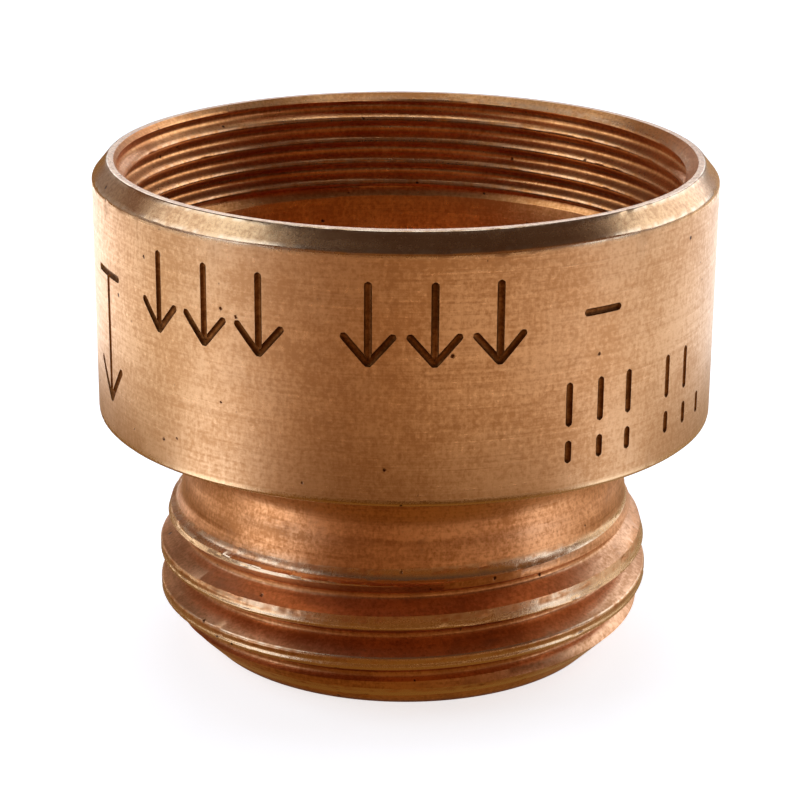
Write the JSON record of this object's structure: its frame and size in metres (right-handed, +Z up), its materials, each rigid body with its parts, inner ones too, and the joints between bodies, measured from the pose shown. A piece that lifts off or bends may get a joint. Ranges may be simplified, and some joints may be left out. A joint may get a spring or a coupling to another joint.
{
  "type": "backflow preventer",
  "caption": "Brass backflow preventer for a hose tap: fine inner thread at the collar, hose thread at the outlet, sprung check poppet and vent diaphragm inside.",
  "frame": {"origin": "centre of the outlet nipple's end face, which the part stands on", "axes": "+Z up along the flow axis, from the outlet towards the inlet; -Y is the side that the picture shows"},
  "size_m": [0.0332, 0.0332, 0.0268],
  "materials": {
    "body_brass": "satin turned",
    "acetal": "moulded matte",
    "rubber": "moulded matte",
    "steel": "drawn and stamped"
  },
  "bodies": {
    "housing": {"valve_body": "body_brass", "vent_ring": "acetal", "diaphragm": "rubber", "inlet_gasket": "rubber", "guide": "acetal", "snap_ring": "steel", "spring": "steel"},
    "poppet": {"poppet": "acetal"}
  },
  "joints": [
    {"name": "poppet_slide", "type": "slide", "parent": "housing", "child": "poppet", "axis": [0, 0, -1], "range_m": [0, 0.0022], "stiffness_N_per_m": 300, "springref_m": -0.003, "deforming": ["spring"]}
  ]
}
